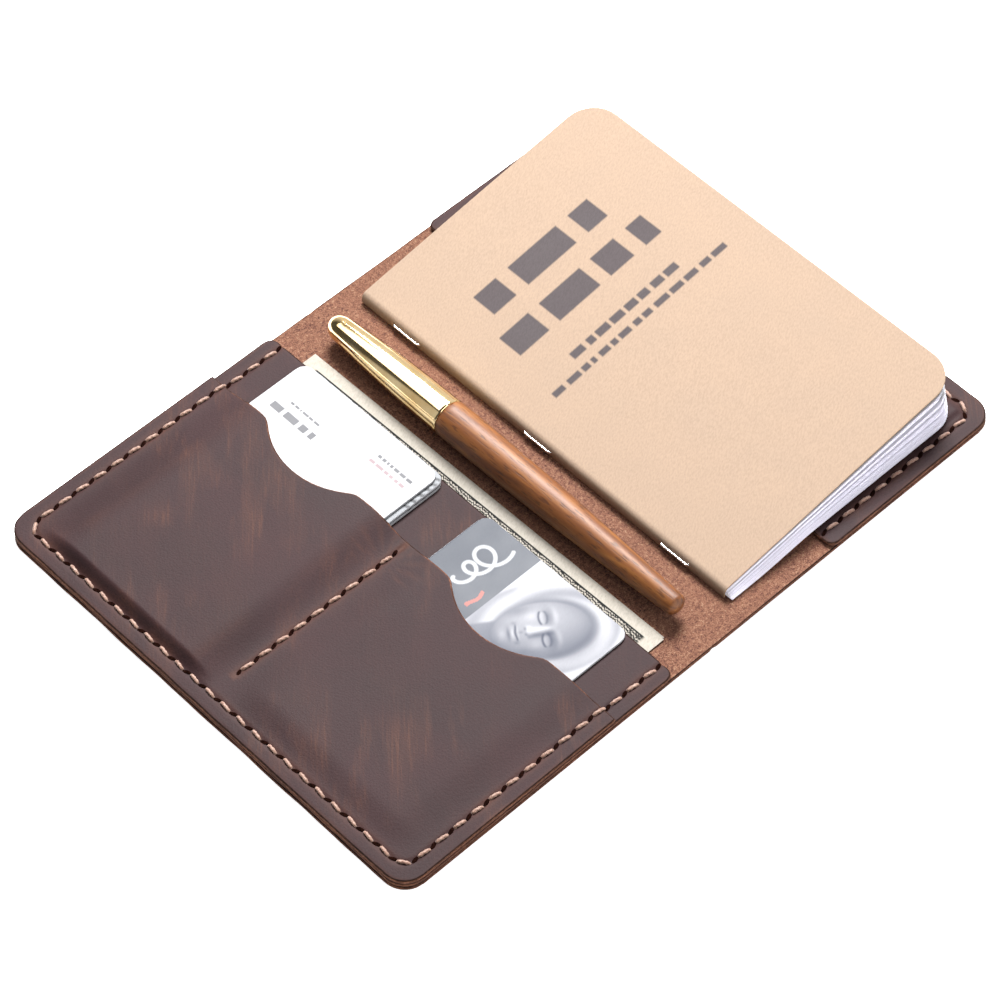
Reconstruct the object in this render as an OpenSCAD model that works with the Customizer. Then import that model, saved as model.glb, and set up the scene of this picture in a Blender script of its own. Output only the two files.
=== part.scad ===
// Bifold leather case for business cards, banknotes and a pocket notebook, shown open and loaded.
// Drawn in a corner frame, X across the open case and Y along its spine, then centred by place().

/* [Case] */
// Width of the open case, across the spine
case_w = 215; // [205:1:225]
// Height of the case, along the spine
case_h = 156; // [152:1:166]
// Radius of the outer corners
corner_r = 7; // [5:0.5:9]
// Thickness of every leather panel
leather_t = 1.4; // [1.2:0.1:1.6]
// Width of the spine strip between the two folds
spine_w = 19.4; // [19:0.1:21]

/* [Pockets] */
// Width of the banknote pocket, from the case's edge to its open edge
bill_w = 94; // [90:1:96]
// Width of the card pocket, from the case's edge to its open edge
pocket_w = 73; // [66:1:78]
// Depth of each thumb notch in the card pocket's edge
notch_depth = 7; // [4:0.5:10]
// Width of each thumb notch
notch_w = 35; // [28:1:44]
// Width of the sleeve that holds the notebook's back cover
sleeve_w = 63.5; // [50:0.5:75]

/* [Stitching] */
// Distance of the seams from the edge
seam_inset = 4.7; // [4.5:0.1:5]
// Radius of the seam round each outer corner
seam_r = 4.6; // [3:0.1:6]
// Distance from one stitch to the next
stitch_pitch = 6; // [4:0.5:8]
// Length of thread that shows in each stitch
stitch_len = 4.2; // [3:0.1:5]
// Thickness of the thread
thread_d = 0.9; // [0.6:0.1:1.2]

/* [Cards and banknotes] */
// Length of a card
card_l = 85.6; // [84:0.1:88]
// Width of a card
card_w = 54; // [50:0.1:55]
// Thickness of a card
card_t = 0.76; // [0.4:0.02:0.78]
// Long side of a banknote
note_l = 133; // [120:1:136]
// Short side of a banknote
note_w = 66; // [60:1:70]
// Thickness of a banknote
note_t = 0.11; // [0.08:0.01:0.12]

/* [Notebook] */
// Width of the notebook
book_w = 88.9; // [86:0.1:89]
// Height of the notebook
book_h = 139.7; // [130:0.1:140]
// Radius of the notebook's outer corners
book_r = 9.5; // [3:0.5:12]
// Thickness of its card cover
book_cover_t = 0.35; // [0.2:0.05:0.4]
// Thickness of one bundle of leaves
bundle_t = 0.55; // [0.3:0.05:0.58]
// Angle at which the front cover stands open
cover_tilt = 8.1; // [7.8:0.1:9]

/* [Pen] */
// Length of the pen with its cap on
pen_l = 134.2; // [125:1:140]
// Length of the brass cap
cap_l = 47; // [44:1:50]
// Radius of the pen where the cap meets the barrel
pen_r = 5.4; // [5:0.1:5.4]

/* [Hidden] */
$fn = 48;

// Heights of the leather faces above the table
floor_z = leather_t;
panel_z = 2 * leather_t;
flange_z = 3 * leather_t;

// Folds, with the hinge lines on the cover's inner face
fold_left = (case_w - spine_w) / 2 + 0.1;
fold_right = fold_left + spine_w;

// Cards: where each lies, and the room that the pocket leaves them
card_r = 3.2;
card_gap = 0.04;
stack_spread = 1.8;
upper_y = 87.2;
lower_y = 16.5;
upper_x = 7.7;
lower_x = 8.5;
stack_top = panel_z + 3 * (card_t + card_gap);
lower_top = panel_z + card_gap + card_t;
pocket_room = 0.3;
pocket_end = 7.2;
bulge_foot = 2.2;
divider_y = 77.5;
notch_upper_y = 115.4;
notch_lower_y = 43.4;
notch_r = (pow(notch_w / 2, 2) + pow(notch_depth, 2)) / (2 * notch_depth);
notch_blend = 1.2;

// Banknotes lie in a shallow recess under the banknote pocket's panel
note_y = 10.7;
note_edge_x = 99.8;
note_lift = 0.16;
note_room = 0.5;

// Notebook: spine line, lowest corner, and how the leaves stand
book_x = 120.4;
book_y = 8.7;
book_z = floor_z + 0.03;
leaf_inset = 0.6;
leaf_x = book_x + 0.9;
bundle_pitch = 0.62;
leaf_tilts = [3.4, 4.8, 6.1, 7.3];
leaf_z = book_z + book_cover_t + 0.08;
front_x = book_x + 0.15;
front_z = leaf_z + 4 * bundle_pitch + 0.08;
sleeve_x = case_w - sleeve_w;
sleeve_rise = 0.5;
staple_r = 0.3;
staple_l = 10;

// Pen: axis over the middle of the spine
pen_x = fold_right - 10.05;
pen_y = 11.7;
pen_z = floor_z + pen_r + 0.12;
barrel_l = pen_l - cap_l;

suede = [0.56, 0.34, 0.27];
leather = [0.28, 0.19, 0.17];
thread = [0.86, 0.68, 0.52];
kraft = [0.93, 0.78, 0.62];
paper = [0.95, 0.95, 0.97];
brass = [0.83, 0.64, 0.27];
steel = [0.78, 0.79, 0.81];

module place() translate([-case_w / 2, -case_h / 2, 0]) children();

// Rectangle with its own radius on the left and the right pair of corners
module rounded_panel(w, h, left_r, right_r) {
    translate([left_r, 0]) square([w - left_r - right_r, h]);
    translate([0, left_r]) square([left_r + 0.01, h - 2 * left_r]);
    translate([w - right_r - 0.01, right_r]) square([right_r + 0.01, h - 2 * right_r]);
    for (y = [left_r, h - left_r]) translate([left_r, y]) circle(r = left_r);
    for (y = [right_r, h - right_r]) translate([w - right_r, y]) circle(r = right_r);
}

// Leather on the left half, from the case's edge to x = w
module left_panel(w, right_r) rounded_panel(w, case_h, corner_r, right_r);

// Leather on the right half, from x = case_w - w to the case's edge
module right_panel(w, left_r) translate([case_w - w, 0]) rounded_panel(w, case_h, left_r, corner_r);

// Outer cover, in one piece of leather that folds along two lines
module cover_back() color(suede) place()
    linear_extrude(leather_t) right_panel(case_w - fold_right, 0.02);

module cover_spine() color(suede) place()
    translate([fold_left, 0, 0]) cube([spine_w, case_h, leather_t]);

module cover_front() color(suede) place()
    linear_extrude(leather_t) left_panel(fold_left, 0.02);

// Panel of the banknote pocket, with a shallow recess where the notes lie
module bill_pocket() color(leather) place() difference() {
    translate([0, 0, floor_z]) linear_extrude(leather_t) left_panel(bill_w, 2.5);
    translate([seam_inset + 3, seam_inset + 3, floor_z - 1])
        cube([case_w, case_h - 2 * (seam_inset + 3), 1 + note_room]);
}

// Depth of a thumb notch at height y along the pocket's edge: an arc with blended shoulders
function notch_cut(y, centre) =
    let (arc = notch_depth - notch_r + sqrt(max(0.01, pow(notch_r, 2) - pow(y - centre, 2))))
    (arc + sqrt(arc * arc + notch_blend)) / 2;

function pocket_edge(y) = pocket_w - notch_cut(y, notch_upper_y) - notch_cut(y, notch_lower_y);

module pocket_outline() {
    steps = 104;
    edge = [for (i = [0:steps]) [pocket_edge(case_h * i / steps), case_h * i / steps]];
    intersection() {
        polygon(concat(edge, [[-1, case_h], [-1, 0]]));
        left_panel(pocket_w + 1, 0.02);
    }
}

// Raised leather over the cards, sloping down to the seams round it
module card_bulge(y0, y1, base_y0, base_y1, top_z) hull() {
    translate([pocket_end - 1.5, base_y0, flange_z - 0.02])
        cube([pocket_w - pocket_end + 2.5, base_y1 - base_y0, 0.02]);
    translate([pocket_end + 0.4, y0 - 0.6, top_z - 0.02])
        cube([pocket_w - pocket_end + 0.6, y1 - y0 + 1.2, 0.02]);
}

// Room for the cards between two sides, up to just over the top card
module card_room(y0, y1, top_z)
    translate([pocket_end, y0 - pocket_room, panel_z - 1])
        cube([case_w, y1 - y0 + 2 * pocket_room, 1 + top_z - panel_z + 0.12]);

// Front panel with two card pockets, parted by a line of stitches
module card_pocket() color(leather) place() difference() {
    intersection() {
        union() {
            translate([0, 0, panel_z]) linear_extrude(leather_t) left_panel(pocket_w + 1, 0.02);
            card_bulge(upper_y - stack_spread, upper_y + card_w, divider_y + bulge_foot,
                case_h - seam_inset - bulge_foot, stack_top + leather_t);
            card_bulge(lower_y, lower_y + card_w, seam_inset + bulge_foot,
                divider_y - bulge_foot, lower_top + leather_t);
        }
        translate([0, 0, panel_z - 1]) linear_extrude(8) pocket_outline();
    }
    card_room(upper_y - stack_spread, upper_y + card_w, stack_top);
    card_room(lower_y, lower_y + card_w, lower_top);
}

// Sleeve over the notebook's back cover, raised a little where the cover slides in
module notebook_sleeve() color(leather) place() difference() {
    union() {
        translate([0, 0, floor_z]) linear_extrude(leather_t) right_panel(sleeve_w, 0.8);
        hull() {
            translate([sleeve_x, 6.6, panel_z - 0.02])
                cube([book_x + book_w + 0.2 - sleeve_x, case_h - 13.2, 0.02]);
            translate([sleeve_x, 8, panel_z + sleeve_rise - 0.02])
                cube([book_x + book_w - 0.4 - sleeve_x, case_h - 16, 0.02]);
        }
    }
    translate([sleeve_x - 1, book_y - 0.25, floor_z - 1])
        cube([book_x + book_w + 0.2 - sleeve_x + 1, book_h + 0.5, 1 + sleeve_rise]);
}

// One stitch: a six-sided grain of thread along X, thickest in the middle
module stitch() hull()
    for (end = [[-1, 0.5], [0, 1], [1, 0.5]])
        translate([end[0] * (stitch_len / 2 - 0.05), 0, 0]) rotate([0, 90, 0])
            cylinder(d = thread_d * end[1], h = 0.1, center = true, $fn = 6);

// A seam along three sides: out along the top, round the corner, down the end and back.
// It starts at x = run on the top side and ends there on the bottom side.
seam_turn = seam_inset + seam_r;
seam_arc = PI * seam_r / 2;
seam_down = case_h - 2 * seam_turn;
function seam_side(run) = run - seam_turn;
function seam_total(run) = 2 * seam_side(run) + 2 * seam_arc + seam_down;

// Point at distance s along the seam, as [x, y, direction]
function seam_point(s, run) =
    let (a = seam_side(run), b = a + seam_arc, c = b + seam_down, d = c + seam_arc)
    s < a ? [run - s, case_h - seam_inset, 180]
    : s < b ? let (q = (s - a) / seam_arc * 90)
        [seam_turn - seam_r * sin(q), case_h - seam_turn + seam_r * cos(q), 180 + q]
    : s < c ? [seam_inset, case_h - seam_turn - (s - b), 270]
    : s < d ? let (q = (s - c) / seam_arc * 90)
        [seam_turn - seam_r * cos(q), seam_turn - seam_r * sin(q), 270 + q]
    : [seam_turn + (s - d), seam_inset, 360];

// A stitch half sunk in the face at z = top_z, turned a little off the seam's direction
module stitch_at(x, y, angle, top_z)
    translate([x, y, top_z + 0.1]) rotate([0, 0, angle - 8]) stitch();

module pocket_stitches() color(thread) place() {
    run = bill_w - 1.5;
    count = floor(seam_total(run) / stitch_pitch);
    for (i = [0:count - 1]) {
        p = seam_point((i + 0.5) * seam_total(run) / count, run);
        stitch_at(p[0], p[1], p[2], p[0] > pocket_w ? panel_z : flange_z);
    }
}

// Stitches that part the two card pockets
module divider_stitches() color(thread) place()
    for (x = [17 : stitch_pitch : pocket_w - 2]) stitch_at(x, divider_y, 0, flange_z);

module sleeve_stitches() color(thread) place() {
    run = sleeve_w - 2;
    count = floor(seam_total(run) / stitch_pitch);
    for (i = [0:count - 1]) {
        p = seam_point((i + 0.5) * seam_total(run) / count, run);
        stitch_at(case_w - p[0], p[1], -p[2], panel_z);
    }
}

// A card with its left end at x and its lower side at y, the lowest card being level 0
module card(x, y, level) place()
    translate([x, y, panel_z + card_gap + level * (card_t + card_gap)])
        linear_extrude(card_t) rounded_panel(card_l, card_w, card_r, card_r);

module card_top() color("white") card(upper_x, upper_y, 2);
module card_middle() color("whitesmoke") card(upper_x + 0.6, upper_y - 1.5, 1);
module card_bottom() color("gainsboro") card(upper_x + 0.2, upper_y - stack_spread, 0);
module card_lower() color([0.45, 0.47, 0.5]) card(lower_x, lower_y, 0);

// A banknote with its right edge at x
module banknote(x, y, z) place()
    translate([x - note_w, y, z]) cube([note_w, note_l, note_t]);

module banknote_back() color([0.95, 0.93, 0.85])
    banknote(note_edge_x, note_y, floor_z + note_lift);
module banknote_front() color([0.9, 0.9, 0.82])
    banknote(note_edge_x - 0.6, note_y - 0.5, floor_z + note_lift + note_t + 0.03);

// Notebook sheet with rounded fore-edge corners, its spine along x = 0
module book_sheet(w, h, t) linear_extrude(t) rounded_panel(w, h, 0.02, book_r);

// Back cover and spine of the notebook, from one folded sheet of card
module notebook_back() color(kraft) place() {
    translate([book_x, book_y, book_z]) book_sheet(book_w, book_h, book_cover_t);
    translate([book_x, book_y, book_z]) cube([book_cover_t, book_h, front_z - book_z - 0.22]);
}

// Wire staples through the notebook's spine
module notebook_staples() color(steel) place()
    for (share = [0.13, 0.5, 0.87])
        translate([book_x, book_y + book_h * share - staple_l / 2, book_z + 1.7]) {
            translate([-0.1, 0, 0]) rotate([-90, 0, 0]) cylinder(r = staple_r, h = staple_l, $fn = 16);
            for (y = [staple_r, staple_l - staple_r])
                translate([-0.1, y, 0]) rotate([0, 90, 0]) cylinder(r = staple_r, h = 0.8, $fn = 16);
        }

// One bundle of leaves, fanned up from the spine
module notebook_leaves(i) color(paper) place()
    translate([leaf_x, book_y + leaf_inset, leaf_z + i * bundle_pitch])
        rotate([0, -leaf_tilts[i], 0])
            book_sheet(book_w - 1.6, book_h - 2 * leaf_inset, bundle_t);

module notebook_leaves_1() notebook_leaves(0);
module notebook_leaves_2() notebook_leaves(1);
module notebook_leaves_3() notebook_leaves(2);
module notebook_leaves_4() notebook_leaves(3);

module notebook_front() color(kraft) place()
    translate([front_x, book_y, front_z])
        rotate([0, -cover_tilt, 0]) book_sheet(book_w, book_h, book_cover_t);

// Turned pieces of the pen, drawn along +Z and laid along +Y
module pen_place(y) place() translate([pen_x, pen_y + y, pen_z]) rotate([-90, 0, 0]) children();

// Radius of the barrel at a share t of its length from the tail
function barrel_radius(t) = 3.1 + (pen_r - 3.1) * sin(90 * min(1, t * 1.05));
// Radius of the cap at a share t of its length from the joint
function cap_radius(t) = pen_r - 0.05 - 1.9 * pow(t, 2.2);

module pen_barrel() color([0.45, 0.25, 0.13]) pen_place(0) {
    tail = [for (a = [0:15:75]) [3.1 * sin(a), 1.8 - 1.8 * cos(a)]];
    side = [for (i = [0:16]) [barrel_radius(i / 16), 1.8 + (barrel_l - 1.8) * i / 16]];
    rotate_extrude() polygon(concat(tail, side, [[0, barrel_l]]));
}

// Brass grip that the cap covers
module pen_grip() color(brass) pen_place(barrel_l)
    rotate_extrude() polygon([[0, 0], [4.2, 0], [4.2, 14], [3.4, 27], [1.6, 33], [0, 33]]);

module pen_tip() color(steel) pen_place(barrel_l + 33)
    rotate_extrude() polygon([[0, 0], [1.2, 0], [0.5, 3.2], [0.3, 3.8], [0, 3.8]]);

// Hollow brass cap with a rounded end
module pen_cap() color(brass) pen_place(barrel_l + 0.02) difference() {
    end_r = cap_radius(1);
    round_h = 2.6;
    side = [for (i = [0:12]) [cap_radius(i / 12), (cap_l - round_h) * i / 12]];
    crown = [for (a = [15:15:75]) [end_r * cos(a), cap_l - round_h + round_h * sin(a)]];
    rotate_extrude() polygon(concat([[0, 0]], side, crown, [[0, cap_l]]));
    translate([0, 0, -1]) cylinder(r = 4.35, h = 17);
    translate([0, 0, 15.99]) cylinder(r1 = 4.35, r2 = 2.6, h = 24);
}

cover_back();
cover_spine();
cover_front();
bill_pocket();
card_pocket();
notebook_sleeve();
pocket_stitches();
divider_stitches();
sleeve_stitches();
card_top();
card_middle();
card_bottom();
card_lower();
banknote_back();
banknote_front();
notebook_back();
notebook_staples();
notebook_leaves_1();
notebook_leaves_2();
notebook_leaves_3();
notebook_leaves_4();
notebook_front();
pen_barrel();
pen_grip();
pen_tip();
pen_cap();
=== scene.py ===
import math

import bpy
import numpy as np
from mathutils import Matrix, Vector


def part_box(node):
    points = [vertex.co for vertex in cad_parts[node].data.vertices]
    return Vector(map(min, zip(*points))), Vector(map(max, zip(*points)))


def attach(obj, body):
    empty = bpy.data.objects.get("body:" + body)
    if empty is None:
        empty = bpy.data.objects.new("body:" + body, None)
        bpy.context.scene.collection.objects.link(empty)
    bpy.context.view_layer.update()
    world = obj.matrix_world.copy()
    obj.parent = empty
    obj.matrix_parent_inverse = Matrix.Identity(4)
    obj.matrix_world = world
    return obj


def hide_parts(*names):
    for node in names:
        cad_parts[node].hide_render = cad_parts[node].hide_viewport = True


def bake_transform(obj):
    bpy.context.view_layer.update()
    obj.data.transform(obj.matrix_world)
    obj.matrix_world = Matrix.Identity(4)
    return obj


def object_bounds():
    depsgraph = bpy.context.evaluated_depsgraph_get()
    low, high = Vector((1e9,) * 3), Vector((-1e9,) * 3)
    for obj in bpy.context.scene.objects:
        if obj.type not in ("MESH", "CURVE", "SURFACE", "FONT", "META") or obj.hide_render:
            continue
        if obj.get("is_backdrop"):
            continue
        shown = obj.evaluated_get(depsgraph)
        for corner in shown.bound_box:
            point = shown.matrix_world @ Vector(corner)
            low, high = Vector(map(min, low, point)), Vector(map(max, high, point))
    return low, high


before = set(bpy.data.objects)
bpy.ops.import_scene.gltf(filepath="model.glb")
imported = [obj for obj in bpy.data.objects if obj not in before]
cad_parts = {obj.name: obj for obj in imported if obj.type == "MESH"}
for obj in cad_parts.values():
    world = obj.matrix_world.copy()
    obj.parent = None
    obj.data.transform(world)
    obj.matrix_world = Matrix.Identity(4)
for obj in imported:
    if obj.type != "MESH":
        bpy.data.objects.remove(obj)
cad_low, cad_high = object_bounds()
MM = 0.001


# ---------- Places. Lengths are in mm from the CAD box's lowest corner, X across the open case ----------

def box_mm(node):
    low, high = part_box(node)
    origin = np.array(cad_low)
    return (np.array(low) - origin) / MM, (np.array(high) - origin) / MM


def to_frame(points):
    return np.asarray(points, float) * MM + np.array(cad_low)


case_w, case_h = ((np.array(cad_high) - np.array(cad_low)) / MM)[:2]
spine_low, spine_high = box_mm("cover_spine")
sleeve_low, sleeve_high = box_mm("notebook_sleeve")
divider_low, divider_high = box_mm("divider_stitches")
book_low, book_high = box_mm("notebook_back")
barrel_low, barrel_high = box_mm("pen_barrel")
cap_low, cap_high = box_mm("pen_cap")
grip_low, grip_high = box_mm("pen_grip")
tip_low, tip_high = box_mm("pen_tip")

leather_t = spine_high[2]
panel_z = 2 * leather_t
flange_z = 3 * leather_t
fold_left, fold_right = spine_low[0], spine_high[0]
spine_mid = (fold_left + fold_right) / 2
bill_w = box_mm("bill_pocket")[1][0]
pocket_w = box_mm("card_pocket")[1][0]
sleeve_x = sleeve_low[0]
divider_y = (divider_low[1] + divider_high[1]) / 2
corner_r = 7.0
seam_r = 4.6
seam_inset = 4.7
stitch_pitch = 6.0
edge_r = 0.42
GROOVE_W, GROOVE_DEPTH = 0.75, 0.3
THREAD_R, STITCH_HALF, STITCH_TURN = 0.49, 2.0, 9
HOLE_L, HOLE_W, HOLE_TURN = 3.0, 1.32, 24


# ---------- Small maths ----------

def smooth(t):
    t = np.clip(t, 0, 1)
    return t * t * (3 - 2 * t)


def bump(distance, width):
    return np.exp(-(distance / width) ** 2)


STUDIO_LIGHT = 2.9


def linear(red, green, blue):
    """The linear colour of a screen colour with channels from 0 to 255."""
    share = np.array([red, green, blue]) / 255
    return np.where(share < 0.04045, share / 12.92, ((share + 0.055) / 1.055) ** 2.4)


def srgb(red, green, blue):
    """A colour as it looks in the bright studio, as the surface's own linear colour."""
    return linear(red, green, blue) / STUDIO_LIGHT


def flat(z):
    """A level face at height z."""
    return lambda x, y: np.full(np.shape(x), z)


def waves(x, y, length, seed, count=7):
    """Smooth random relief of about +-1 from a few plane waves of about this wavelength."""
    rng = np.random.default_rng(seed)
    total = np.zeros(np.shape(x))
    for _ in range(count):
        angle, phase = rng.uniform(0, 2 * math.pi, 2)
        k = 2 * math.pi / (length * rng.uniform(0.6, 1.7))
        total += np.sin(k * (x * math.cos(angle) + y * math.sin(angle)) + phase)
    return total / math.sqrt(count)


def steps(start, end, coarse, fine, zones):
    """Positions from start to end, close together inside the zones."""
    out = [start]
    while out[-1] < end - 1e-6:
        near = any(a - coarse < out[-1] < b for a, b in zones)
        out.append(min(end, out[-1] + (fine if near else coarse)))
    if len(out) > 2 and out[-1] - out[-2] < fine * 0.4:
        out.pop(-2)
    return np.array(out)


# ---------- Meshes ----------

def new_object(name, points, faces, materials, slots=None, rest=None, **attributes):
    mesh = bpy.data.meshes.new(name)
    mesh.from_pydata(to_frame(points).tolist(), [], faces)
    for material in materials:
        mesh.materials.append(material)
    mesh.polygons.foreach_set("use_smooth", [True] * len(faces))
    if slots is not None:
        mesh.polygons.foreach_set("material_index", slots)
    attributes["rest"] = np.asarray(points if rest is None else rest, float)
    for key, values in attributes.items():
        values = np.asarray(values, np.float32)
        if values.ndim == 1:
            mesh.attributes.new(key, "FLOAT", "POINT").data.foreach_set("value", values)
        elif key == "rest":
            mesh.attributes.new(key, "FLOAT_VECTOR", "POINT").data.foreach_set("vector", values.ravel())
        else:
            rgba = np.column_stack([values, np.ones(len(values), np.float32)])
            mesh.attributes.new(key, "FLOAT_COLOR", "POINT").data.foreach_set("color", rgba.ravel())
    made = bpy.data.objects.new(name, mesh)
    bpy.context.scene.collection.objects.link(made)
    return made


def crisp_edges(mesh, corners, rim, flush):
    """Keeps the shading flat up to the side where two sheets meet."""
    meeting = np.zeros(len(mesh.vertices), bool)
    meeting[corners] = np.tile(flush(rim[:, 0], rim[:, 1]), 2)
    ends = np.empty(2 * len(mesh.edges), np.int32)
    mesh.edges.foreach_get("vertices", ends)
    crisp = meeting[ends.reshape(-1, 2)].all(1)
    mesh.attributes.new("sharp_edge", "BOOLEAN", "EDGE").data.foreach_set("value", crisp)


# Rings round a rim, as (share of the edge's reach outwards, share of the way down)
WALL = [(0.5, 0.05), (0.85, 0.18), (1.0, 0.4), (1.0, 0.6), (0.85, 0.82), (0.5, 0.95)]


def slab(name, columns, rows, top, bottom, materials, left=None, right=None, paint=None,
         wear=None, bend=None, edge=edge_r, flush=None, taper=30.0):
    """A sheet over a grid, with rounded edges. left(y) and right(y) move its sides inwards;
    top(x, y) and bottom(x, y) are its faces; bend moves the finished points."""
    grid_x, grid_y = np.meshgrid(columns, rows)
    x, y = grid_x.copy(), grid_y
    if left:
        x += left(grid_y) * np.clip(1 - (grid_x - columns[0]) / taper, 0, 1)
    if right:
        x -= right(grid_y) * np.clip(1 - (columns[-1] - grid_x) / taper, 0, 1)
    ny, nx = x.shape
    over = np.stack([x, y, top(x, y)], -1).reshape(-1, 3)
    under = np.stack([x, y, bottom(x, y)], -1).reshape(-1, 3)
    index = np.arange(ny * nx).reshape(ny, nx)
    loop = np.concatenate([index[0], index[1:, -1], index[-1, -2::-1], index[-2:0:-1, 0]])
    rim, rim_low = over[loop], under[loop]
    along = np.roll(rim[:, :2], -1, 0) - np.roll(rim[:, :2], 1, 0)
    along /= np.maximum(np.linalg.norm(along, axis=1, keepdims=True), 1e-9)
    out = np.stack([along[:, 1], -along[:, 0]], 1) * edge
    if flush is not None:
        out *= np.where(flush(rim[:, 0], rim[:, 1]), 0, 1)[:, None]
    rings = []
    for reach, drop in WALL:
        ring = rim * (1 - drop) + rim_low * drop
        ring[:, :2] += out * reach
        rings.append(ring)
    points = np.concatenate([over, under, *rings])
    a, b, c, d = index[:-1, :-1], index[:-1, 1:], index[1:, 1:], index[1:, :-1]
    quads = np.stack([a, b, c, d], -1).reshape(-1, 4)
    faces = [quads, quads[:, ::-1] + ny * nx]
    count = len(loop)
    chain = [loop] + [2 * ny * nx + k * count + np.arange(count) for k in range(len(WALL))]
    chain.append(loop + ny * nx)
    for high, low in zip(chain[:-1], chain[1:]):
        faces.append(np.stack([high, low, np.roll(low, -1), np.roll(high, -1)], -1))
    slots = np.concatenate([np.full(len(f), min(k, 2)) for k, f in enumerate(faces)])
    slots = np.where(slots == 1, 2, np.where(slots == 2, 1, 0))
    rest = points.copy()
    attributes = {}
    if paint:
        attributes["col"] = paint(points[:, 0], points[:, 1])
    if wear:
        attributes["wear"] = wear(points[:, 0], points[:, 1])
    if bend:
        points = bend(points)
    made = new_object(name, points, np.concatenate(faces).tolist(), materials,
                      np.minimum(slots, len(materials) - 1), rest, **attributes)
    if flush is not None:
        crisp_edges(made.data, np.concatenate([loop, loop + ny * nx]), rim, flush)
    return made


def corner_inset(low, high, radius):
    """How far a rounded corner moves a side inwards, as a function of y."""
    def inset(y):
        near = np.clip(radius - np.minimum(y - low, high - y), 0, radius)
        return radius - np.sqrt(np.maximum(radius ** 2 - near ** 2, 0))
    return inset


def corner_rows(low, high, radius, coarse):
    """Rows that follow two rounded corners evenly."""
    turn = radius * (1 - np.cos(np.linspace(0, math.pi / 2, 9)[:-1]))
    middle = np.linspace(low + radius, high - radius, max(2, int((high - low) / coarse)))
    return np.concatenate([low + turn, middle, (high - turn)[::-1]])


def lathe(name, profile, axis, material, segments=72):
    """Turns (radius, y) points round an axis along Y. A radius of 0 closes an end."""
    angles = np.linspace(0, 2 * math.pi, segments, endpoint=False)
    points, rings = [], []
    for radius, y in profile:
        if radius < 1e-6:
            rings.append([len(points)])
            points.append((axis[0], y, axis[1]))
            continue
        rings.append(list(range(len(points), len(points) + segments)))
        points += [(axis[0] + radius * math.cos(a), y, axis[1] + radius * math.sin(a)) for a in angles]
    faces = []
    for low, high in zip(rings[:-1], rings[1:]):
        for k in range(segments):
            n = (k + 1) % segments
            if len(low) == 1:
                faces.append((low[0], high[k], high[n]))
            elif len(high) == 1:
                faces.append((low[n], low[k], high[0]))
            else:
                faces.append((low[n], low[k], high[k], high[n]))
    return new_object(name, points, faces, [material])


def tube_faces(rings, sides):
    """Quads between rings of points, without the ends."""
    faces = []
    for i in range(rings - 1):
        for k in range(sides):
            n = (k + 1) % sides
            faces.append((i * sides + k, i * sides + n, (i + 1) * sides + n, (i + 1) * sides + k))
    return faces


def first_ring(sides):
    return tuple(range(sides))


def last_ring(rings, sides):
    return tuple(range((rings - 1) * sides, rings * sides))


def fit(made, node, body):
    """Puts a mesh in the place of a CAD node, on a moving body."""
    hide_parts(node)
    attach(made, body)


# ---------- Materials ----------

class Shader:
    """A Principled material whose texture coordinates are the mesh's own flat places, in mm."""

    def __init__(self, name, **inputs):
        self.material = bpy.data.materials.new(name)
        self.material.use_nodes = True
        self.nodes = self.material.node_tree.nodes
        self.surface = self.nodes["Principled BSDF"]
        self.place = self.attribute("rest").outputs["Vector"]
        self.feed(self.surface, inputs)

    def attribute(self, name):
        made = self.nodes.new("ShaderNodeAttribute")
        made.attribute_name = name
        return made

    def feed(self, node, inputs):
        for key, value in inputs.items():
            if isinstance(value, bpy.types.NodeSocket):
                self.material.node_tree.links.new(value, node.inputs[key])
            else:
                node.inputs[key].default_value = value

    def node(self, kind, inputs, **settings):
        made = self.nodes.new("ShaderNode" + kind)
        for key, value in settings.items():
            setattr(made, key, value)
        self.feed(made, inputs)
        return made

    def noise(self, size, stretch=(1, 1, 1), turn=0.0, detail=3.0, roughness=0.55, distortion=0.0):
        """Noise with features of about size mm, longer along the axes with a stretch above 1."""
        mapped = self.node("Mapping", {
            "Vector": self.place, "Rotation": (0, 0, turn), "Scale": [size * s for s in stretch]},
            vector_type="TEXTURE")
        made = self.node("TexNoise", {
            "Vector": mapped.outputs[0], "Scale": 1.0, "Detail": detail, "Roughness": roughness,
            "Distortion": distortion})
        return made.outputs["Fac"]

    def cells(self, size):
        mapped = self.node("Mapping", {"Vector": self.place, "Scale": [1 / size] * 3})
        made = self.node("TexVoronoi", {"Vector": mapped.outputs[0], "Scale": 1.0})
        return made.outputs["Distance"]

    def ramp(self, value, *stops):
        made = self.node("ValToRGB", {"Fac": value})
        elements = made.color_ramp.elements
        while len(elements) < len(stops):
            elements.new(0.5)
        for element, (place, colour) in zip(elements, stops):
            element.position = place
            colour = [colour] * 3 if np.isscalar(colour) else list(colour)
            element.color = (*colour, 1)
        return made.outputs["Color"]

    def maths(self, operation, *values):
        made = self.node("Math", {}, operation=operation)
        self.feed(made, dict(enumerate(values)))
        return made.outputs[0]

    def mix(self, share, first, second, blend_type="MIX"):
        made = self.node("Mix", {}, data_type="RGBA", blend_type=blend_type)
        def colour(c):
            return c if isinstance(c, bpy.types.NodeSocket) else (*c, 1)
        self.feed(made, {0: share, 6: colour(first), 7: colour(second)})
        return made.outputs[2]

    def relief(self, *layers):
        """Bump layers as (height, depth in mm)."""
        normal = None
        for height, depth in layers:
            inputs = {"Height": height, "Distance": depth * MM, "Strength": 1.0}
            if normal is not None:
                inputs["Normal"] = normal
            normal = self.node("Bump", inputs).outputs[0]
        self.feed(self.surface, {"Normal": normal})

    def finish(self, **inputs):
        self.feed(self.surface, {key.replace("_", " "): value for key, value in inputs.items()})
        return self.material


STREAK_TURN = -0.72


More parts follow.
